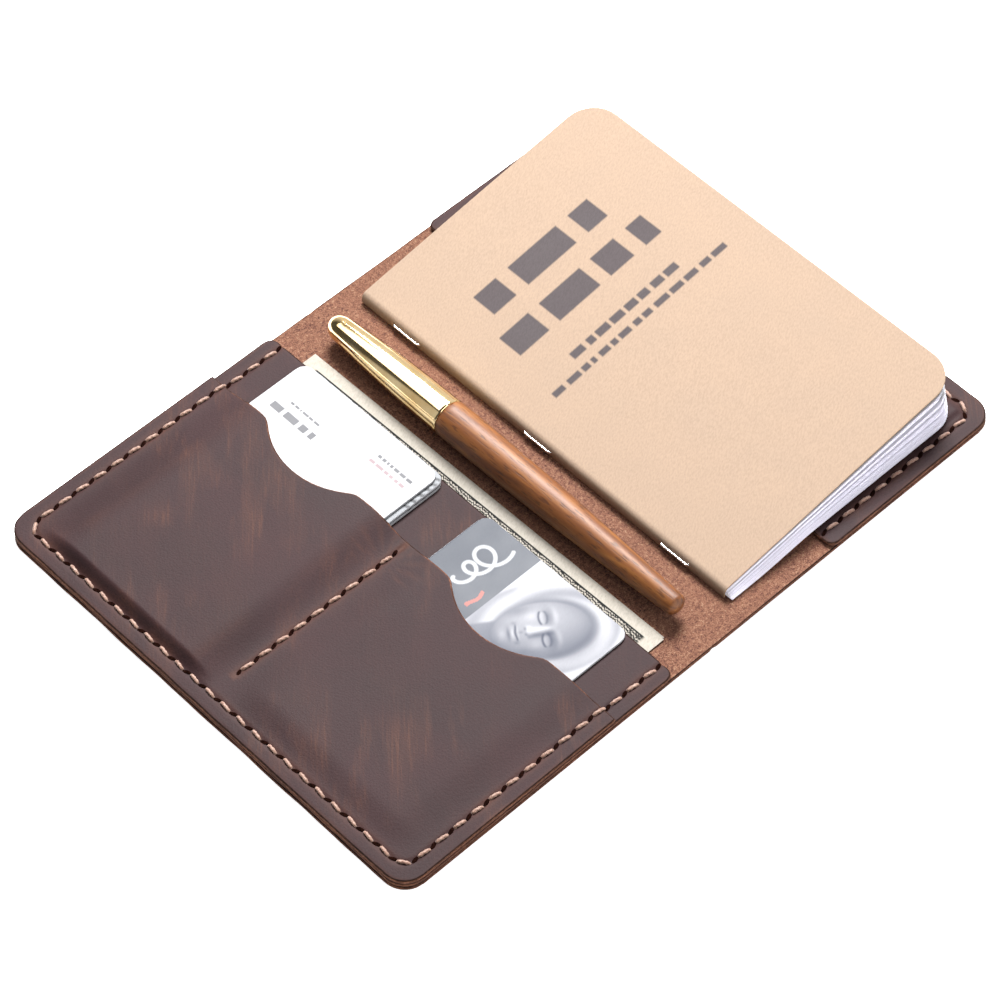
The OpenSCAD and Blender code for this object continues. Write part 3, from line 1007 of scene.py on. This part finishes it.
def card(name, paint, material, cell, body):
    """A printed card, with fine cells where its print shows and at its rounded corners."""
    low, high = cards[name]
    rim, shown = 0.12, 36
    inset = corner_inset(low[1] + rim, high[1] - rim, 3.1)
    corners = [(low[1], low[1] + 3.2), (high[1] - 3.2, high[1])]
    rows = steps(low[1] + rim, high[1] - rim, cell, min(cell, 0.3), corners)
    columns = steps(low[0] + rim, high[0] - rim, max(cell * 3, 1.2), cell, [(high[0] - shown, high[0])])
    made = slab(name + "_print", columns, rows,
                flat(high[2]), flat(low[2]),
                [material, mat_card_edge, material], left=inset, right=inset, paint=paint, edge=rim,
                taper=14)
    fit(made, name, body)


card("card_top", white_card_paint, mat_white_card, 0.25, "upper_card_top")
card("card_middle", striped_card_paint, mat_white_card, 0.3, "upper_card_middle")
card("card_bottom", striped_card_paint, mat_white_card, 0.3, "upper_card_bottom")
card("card_lower", grey_card_paint, mat_grey_card, 0.22, "lower_card")


def note_paint(edge_x, low_y, high_y):
    """Cream paper with a fine engraved border, a wavy band and a corner ornament."""
    def paint(x, y):
        made = colours(x, srgb(262, 252, 236))
        inner = edge_x - 3.2 - x
        fade = smooth((high_y - 3.5 - y) / 1) * smooth((y - low_y - 3.5) / 1)
        line = (np.abs(inner) < 0.17) * fade
        weave = np.sin(y * 3.4) * np.sin((x + 0.35 * np.sin(y * 2.1)) * 7.5)
        weave = smooth((weave + 0.3) * 3) * ((inner > 0.25) & (inner < 4.2))
        lines = (np.sin(inner * 12 + 0.8 * np.sin(y * 0.9)) > 0.2) * (inner >= 4.2) * 0.4
        leaf = np.clip(np.sin(np.hypot(inner + 1, y - low_y - 5) * 4), 0, 1)
        leaf = leaf * (y < low_y + 9) * (inner > 0)
        ink = np.maximum.reduce([line, weave * fade, lines * fade, leaf * 0.9 * fade])
        return over_paint(made, ink, srgb(26, 28, 28))
    return paint


note_skew = 0.012


def skewed(points):
    """The notes lie a little askew in the pocket."""
    points = points.copy()
    points[:, 0] += note_skew * (mid_y - points[:, 1])
    return points


for node, body in (("banknote_back", "banknote_inner"), ("banknote_front", "banknote_outer")):
    low, high = box_mm(node)
    note = slab(
        node + "_print", steps(low[0], high[0], 3.0, 0.16, [(bill_w - 5, high[0])]),
        steps(low[1], high[1], 0.22, 0.22, []),
        flat(high[2]), flat(low[2]),
        [mat_note, mat_note, mat_note], paint=note_paint(high[0], low[1], high[1]), bend=skewed,
        edge=0.01)
    fit(note, node, body)


# ---------- Notebook ----------

book_corner = 9.4
cover_t = 0.35
front_low, front_high = box_mm("notebook_front")
cover_tilt = math.atan2(front_high[2] - front_low[2] - cover_t, front_high[0] - front_low[0])
hinge_x, hinge_z = front_low[0] + 0.05, front_low[2]
fold_r = 1.7
book_y0, book_y1 = book_low[1], book_high[1]


def kraft_paint(u, y):
    """Kraft card with greeked print: two rows of heavy bars and two rows of fine ones."""
    paint = colours(u, srgb(242, 210, 182))
    ink = bars(u, y, [(book_y0 + 111.5, 20.5, 66, 8.2, 12), (book_y0 + 96.5, 16, 70, 8.2, 18),
                      (book_y0 + 81.5, 25, 65, 2.2, 14), (book_y0 + 76.2, 13, 76, 2.2, 15)])
    return over_paint(paint, ink * 0.92, srgb(104, 98, 106))


def book_back_paint(u, y):
    return colours(u, srgb(236, 204, 168))


back_inset = corner_inset(book_y0, book_y1, book_corner)
back_rows = corner_rows(book_y0 + 0.4, book_y1 - 0.4, book_corner, 3.0)
kraft = [mat_kraft, mat_kraft_edge, mat_kraft]
back = slab(
    "notebook_back_cover", np.linspace(book_low[0] + 0.1, book_high[0], 40), back_rows,
    flat(book_low[2] + cover_t), flat(book_low[2]), kraft, right=back_inset, paint=book_back_paint,
    edge=0.04)
fit(back, "notebook_back", "notebook")

# Centre line of the front cover: up the spine, round a soft fold, then along the open cover
turn_len = fold_r * math.tan((math.pi / 2 - cover_tilt) / 2)
spine_line_x = book_low[0] + cover_t
corner_z = hinge_z + (spine_line_x - hinge_x) * math.tan(cover_tilt)
spine_run = corner_z - turn_len - book_low[2] - cover_t - 0.02
arc_run = fold_r * (math.pi / 2 - cover_tilt)
path_u = np.linspace(-spine_run, 90, 1200)
path_angle = math.pi / 2 - np.clip(path_u / arc_run, 0, 1) * (math.pi / 2 - cover_tilt)
path_step = path_u[1] - path_u[0]
path_x = spine_line_x + np.concatenate([[0], np.cumsum(np.cos(path_angle[:-1]) * path_step)])
path_rise = np.concatenate([[0], np.cumsum(np.sin(path_angle[:-1]) * path_step)])
path_z = book_low[2] + cover_t + 0.02 + path_rise
path_end = np.interp(front_high[0] - 0.05, path_x, path_u)


def wrap_cover(points):
    """Bends a flat sheet round the notebook's spine."""
    u, w = points[:, 0], points[:, 2]
    angle = np.interp(u, path_u, path_angle)
    x = np.interp(u, path_u, path_x) - np.sin(angle) * w
    z = np.interp(u, path_u, path_z) + np.cos(angle) * w
    return np.stack([x, points[:, 1], z], 1)


def bowed(w):
    """A face of the cover at height w, crowned a little between its sides."""
    return lambda u, y: w + 0.25 * np.sin(np.clip(u / 88, 0, 1) * math.pi)


round_rows = corner_rows(book_y0, book_y1, book_corner, 3.0)
print_rows = np.arange(book_y0 + book_corner, book_y1 - book_corner, 0.5)
front = slab(
    "notebook_front_cover", steps(-spine_run, path_end, 0.5, 0.2, [(-spine_run, 4.5)]),
    np.concatenate([round_rows[:8], print_rows, round_rows[-8:]]), bowed(cover_t), bowed(0.02),
    kraft, right=back_inset, paint=kraft_paint, bend=wrap_cover, edge=0.06)
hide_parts("notebook_front")
to_frame((hinge_x + 0.3, mid_y, hinge_z))
to_frame((hinge_x + 5.0, mid_y, hinge_z))
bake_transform(front)

# Leaves: they lift over the sleeve's edge, then fan out to the fore-edge. The lower ones creep out
# of the cover along the spine, with a margin painted lighter as painted light.
leaf_low, leaf_high = box_mm("notebook_leaves_1")
leaf_x = leaf_low[0]
leaf_w = leaf_high[0] - leaf_x - 0.3
leaf_t = 0.09
leaf_creep = 2.3
PAPER = srgb(246, 245, 250)
# Painted light: the leaves' lower margin is painted lighter than the paper, so it reads bright in the
# cover's shade.
PAINTED_LIGHT_MARGIN = (0.8, 0.78, 0.88)
fore_low, fore_high = sleeve_high[2] + 0.35, hinge_z + leaf_w * math.tan(cover_tilt) - 1.5
root_low, root_high = book_low[2] + cover_t + 0.12, hinge_z - 0.35


def leaf_height(u, share):
    """Height of the leaf at this share of the fan, at distance u from the spine."""
    reach = u / leaf_w
    lift = smooth((u - 8) / (sleeve_x - leaf_x - 6))
    low = root_low + (fore_low - root_low) * lift
    high = root_high + (fore_high - root_high) * reach
    belly = 0.5 * np.sin(reach * math.pi) * share * (1 - share) * 4
    return low + (high - low) * share + belly


# Paper colour, with a strip of painted light along the leaves' lower margin.
def leaf_paint(x, y):
    return over_paint(colours(x, PAPER), y < book_y0 + 0.4, PAINTED_LIGHT_MARGIN)


# Bundles that move together, each from one share of the fan to another, with its number of leaves
bundles = (("leaves_first", 0.0, 0.32, 10), ("leaves_second", 0.42, 0.52, 5),
           ("leaves_third", 0.65, 0.725, 4), ("leaves_fourth", 0.88, 0.985, 5))
leaf_corner = book_corner - 0.6
for number, (body, first, last, count) in enumerate(bundles, 1):
    leaves = []
    for k in range(count):
        rng = np.random.default_rng(number * 40 + k)
        shuffle = 0.25 * rng.uniform(-1, 1) * (0 < k < count - 1)
        share = first + (last - first) * (k + shuffle) / (count - 1)
        trim = rng.uniform(0, 0.25)
        creep, margin = leaf_creep * (1 - 0.92 * share), 0.15 + trim * 0.4
        low_y, high_y = book_y0 + margin - creep, book_y1 - margin - creep
        leaves.append(slab(
            f"leaf_{number}_{k}", np.linspace(leaf_x, leaf_x + leaf_w - 0.5 * share - trim, 34),
            corner_rows(low_y, high_y, leaf_corner, 9.0),
            lambda x, y, s=share: leaf_height(x - leaf_x, s) + leaf_t,
            lambda x, y, s=share: leaf_height(x - leaf_x, s), [mat_pages, mat_painted_light_leaf_edge, mat_pages],
            right=corner_inset(low_y, high_y, leaf_corner), paint=leaf_paint, edge=0.02))
    with bpy.context.temp_override(active_object=leaves[0], selected_editable_objects=leaves,
                                   selected_objects=leaves):
        bpy.ops.object.join()
    bundle = leaves[0]
    bundle.name = f"leaves_{number}"
    fit(bundle, f"notebook_leaves_{number}", body)

# Bent wire staples through the spine
staple_low, staple_high = box_mm("notebook_staples")
staple_z = (staple_low[2] + staple_high[2]) / 2
wire_r = 0.32


def wire(path, radius, sides=12):
    """A round wire along a level path."""
    path = np.array(path, float)
    points = []
    for k, p in enumerate(path):
        ahead = path[min(k + 1, len(path) - 1)] - path[max(k - 1, 0)]
        ahead /= np.linalg.norm(ahead)
        up = np.array([0, 0, 1.0])
        side = np.cross(ahead, up)
        for a in np.linspace(0, 2 * math.pi, sides, endpoint=False):
            points.append(p + radius * (math.cos(a) * side + math.sin(a) * up))
    faces = [face[::-1] for face in tube_faces(len(path), sides)]
    faces += [first_ring(sides), last_ring(len(path), sides)[::-1]]
    return np.array(points), np.array(points), faces


staples = []
staple_half, turn_r = 5, 0.7
outside = book_low[0] - 0.3
for share in (0.13, 0.5, 0.87):
    middle = book_y0 + (book_y1 - book_y0) * share
    end = middle - staple_half
    bow = [(outside + turn_r - turn_r * math.sin(a), end + turn_r - turn_r * math.cos(a), staple_z)
           for a in np.linspace(0, math.pi / 2, 7)]
    path = [(outside + 1.4, end, staple_z)] + bow
    path += [(x, 2 * middle - y, z) for x, y, z in path[::-1]]
    staples.append(wire(path, wire_r))
stapled = joined("notebook_staple_wires", staples, mat_staple)
fit(stapled, "notebook_staples", "notebook")


# ---------- Pen ----------

pen_axis = ((barrel_low[0] + barrel_high[0]) / 2, (barrel_low[2] + barrel_high[2]) / 2)
pen_r = (barrel_high[0] - barrel_low[0]) / 2
barrel_l = barrel_high[1] - barrel_low[1]
cap_l = cap_high[1] - cap_low[1]
tail_r = 3.1


def barrel_radius(t):
    """Radius at share t of the way from the tail to the cap."""
    return tail_r + (pen_r - tail_r) * math.sin(math.pi / 2 * min(1, t * 1.05))


def cap_radius(t):
    return pen_r - 0.05 - 1.6 * t ** 2.2


round_tail = 1.8
barrel_profile = [(tail_r * math.sin(a), barrel_low[1] + round_tail * (1 - math.cos(a)))
                  for a in np.linspace(0, math.pi / 2, 10)[:-1]]
barrel_profile += [(barrel_radius(t), barrel_low[1] + round_tail + (barrel_l - round_tail - 0.5) * t)
                   for t in np.linspace(0, 1, 60)]
barrel_profile += [(pen_r - 0.12, barrel_high[1] - 0.3), (pen_r - 0.5, barrel_high[1] - 0.05),
                   (4.0, barrel_high[1]), (0, barrel_high[1])]
barrel = lathe("pen_barrel_turned", barrel_profile, pen_axis, mat_wood)
fit(barrel, "pen_barrel", "pen")

grip_r = 4.2
grip_profile = [(0, grip_low[1]), (grip_r, grip_low[1])]
for k in range(5):
    y = grip_low[1] + 2 + 1.3 * k
    grip_profile += [(grip_r, y), (grip_r - 0.25, y + 0.3), (grip_r - 0.25, y + 0.6), (grip_r, y + 0.9)]
grip_profile += [(grip_r, grip_low[1] + 14), (3.9, grip_low[1] + 19), (3.4, grip_low[1] + 27),
                 (2.6, grip_low[1] + 30.4), (1.7, grip_high[1] - 0.2), (1.5, grip_high[1]),
                 (0, grip_high[1])]
grip = lathe("pen_grip_turned", grip_profile, pen_axis, mat_brass)
fit(grip, "pen_grip", "pen")

tip_profile = [(0, tip_low[1]), (1.2, tip_low[1]), (1.15, tip_low[1] + 0.6), (0.55, tip_high[1] - 0.7),
               (0.45, tip_high[1] - 0.4), (0.3, tip_high[1] - 0.1), (0, tip_high[1])]
tip = lathe("pen_tip_turned", tip_profile, pen_axis, mat_steel, segments=32)
fit(tip, "pen_tip", "pen")

crown = 5.0
mouth_r, end_r = cap_radius(0), cap_radius(1)
cap_profile = [(4.35, cap_low[1] + 0.3), (4.6, cap_low[1] + 0.02), (mouth_r - 0.35, cap_low[1] + 0.02),
               (mouth_r - 0.1, cap_low[1] + 0.2), (mouth_r, cap_low[1] + 0.5)]
cap_profile += [(cap_radius(t), cap_low[1] + (cap_l - crown) * t) for t in np.linspace(0.02, 1, 50)]
cap_profile += [(end_r * math.cos(a), cap_high[1] - crown + crown * math.sin(a))
                for a in np.linspace(0, math.pi / 2, 12)[1:-1]]
cap_profile += [(0, cap_high[1])]
cap_inside = [(0, cap_low[1] + 39.9), (2.6, cap_low[1] + 39.8), (4.35, cap_low[1] + 16)]
cap = lathe("pen_cap_turned", cap_inside + cap_profile, pen_axis, mat_brass, segments=96)
fit(cap, "pen_cap", "pen_cap")


# ---------- Stage ----------

def stage_floor():
    s = Shader("studio_floor", Roughness=0.9)
    tone = s.noise(400, detail=1)
    material = s.finish(Base_Color=s.ramp(tone, (0.3, (0.94, 0.94, 0.94)), (0.7, (0.95, 0.95, 0.95))),
                        Emission_Color=(1, 1, 1, 1), Emission_Strength=0.8)
    size, z = 1500.0, -0.05
    points = [(-size, -size, z), (size, -size, z), (size, size, z), (-size, size, z)]
    new_object("floor", points, [(0, 1, 2, 3)], [material])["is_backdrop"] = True


def area_light(name, direction, distance, size, power):
    """A soft panel that faces the middle of the frame; sizes in m, power in W."""
    data = bpy.data.lights.new(name, "AREA")
    data.shape = "RECTANGLE"
    data.size, data.size_y = size
    data.energy = power
    lamp = bpy.data.objects.new(name, data)
    back = Vector(direction).normalized()
    lamp.location = back * distance
    lamp.visible_camera = False
    lamp.rotation_mode = "QUATERNION"
    lamp.rotation_quaternion = back.to_track_quat("Z", "Y")
    bpy.context.scene.collection.objects.link(lamp)


def studio_world():
    """Soft surround, bright towards +X and dimmer overhead and behind the camera."""
    world = bpy.data.worlds.new("studio")
    world.use_nodes = True
    nodes, links = world.node_tree.nodes, world.node_tree.links
    place = nodes.new("ShaderNodeTexCoord")
    dot = nodes.new("ShaderNodeVectorMath")
    dot.operation = "DOT_PRODUCT"
    dot.inputs[1].default_value = Vector((0.9, 0.25, -0.35)).normalized()
    ramp = nodes.new("ShaderNodeValToRGB")
    stops = ((0.0, 0.08), (0.35, 0.10), (0.50, 0.10), (0.61, 0.45), (0.8, 1.0))
    for _ in stops[2:]:
        ramp.color_ramp.elements.new(0.5)
    for element, (position, value) in zip(ramp.color_ramp.elements, stops):
        element.position = position
        element.color = (value, value, value, 1)
    shift = nodes.new("ShaderNodeMath")
    shift.operation = "MULTIPLY_ADD"
    shift.inputs[1].default_value = 0.5
    shift.inputs[2].default_value = 0.5
    links.new(place.outputs["Generated"], dot.inputs[0])
    links.new(dot.outputs["Value"], shift.inputs[0])
    links.new(shift.outputs[0], ramp.inputs["Fac"])
    links.new(ramp.outputs["Color"], nodes["Background"].inputs["Color"])
    nodes["Background"].inputs["Strength"].default_value = 0.9
    bpy.context.scene.world = world


def camera():
    """The photograph's viewing angle, in metres and degrees, aimed close to the case's middle."""
    azimuth, elevation, roll = (math.radians(a) for a in (-41.31, 52.97, -2.49))
    distance, lens = 1.0559, 143.8
    aim_x, aim_y = -0.0059, -0.0047
    target = Vector(((cad_low.x + cad_high.x) / 2 + aim_x, (cad_low.y + cad_high.y) / 2 + aim_y, 0))
    back = Vector((math.sin(azimuth) * math.cos(elevation), -math.cos(azimuth) * math.cos(elevation),
                   math.sin(elevation)))
    side = Vector((math.cos(azimuth), math.sin(azimuth), 0))
    up = back.cross(side)
    side, up = (side * math.cos(roll) + up * math.sin(roll), up * math.cos(roll) - side * math.sin(roll))
    data = bpy.data.cameras.new("camera")
    data.lens, data.sensor_width = lens, 36.0
    data.clip_start, data.clip_end = 0.05, 20
    made = bpy.data.objects.new("camera", data)
    place = Matrix((side, up, back)).transposed().to_4x4()
    place.translation = target + back * distance
    made.matrix_world = place
    bpy.context.scene.collection.objects.link(made)
    bpy.context.scene.camera = made


stage_floor()
studio_world()
area_light("key", (0.62, 0.52, 1.0), 1.3, (0.5, 0.5), 52)
area_light("fill", (0.1, -1.0, 0.6), 1.7, (1.3, 0.8), 18)
area_light("overhead_strip", (0.16, 0.6, 1.0), 1.17, (1.5, 0.35), 7)
area_light("side_panel", (-0.80, 0.45, 0.35), 1.0, (0.35, 0.93), 0.55)
camera()
bpy.context.scene.view_settings.view_transform = "Standard"

low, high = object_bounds()
{"cad": [list(cad_low), list(cad_high)], "visual": [list(low), list(high)]}
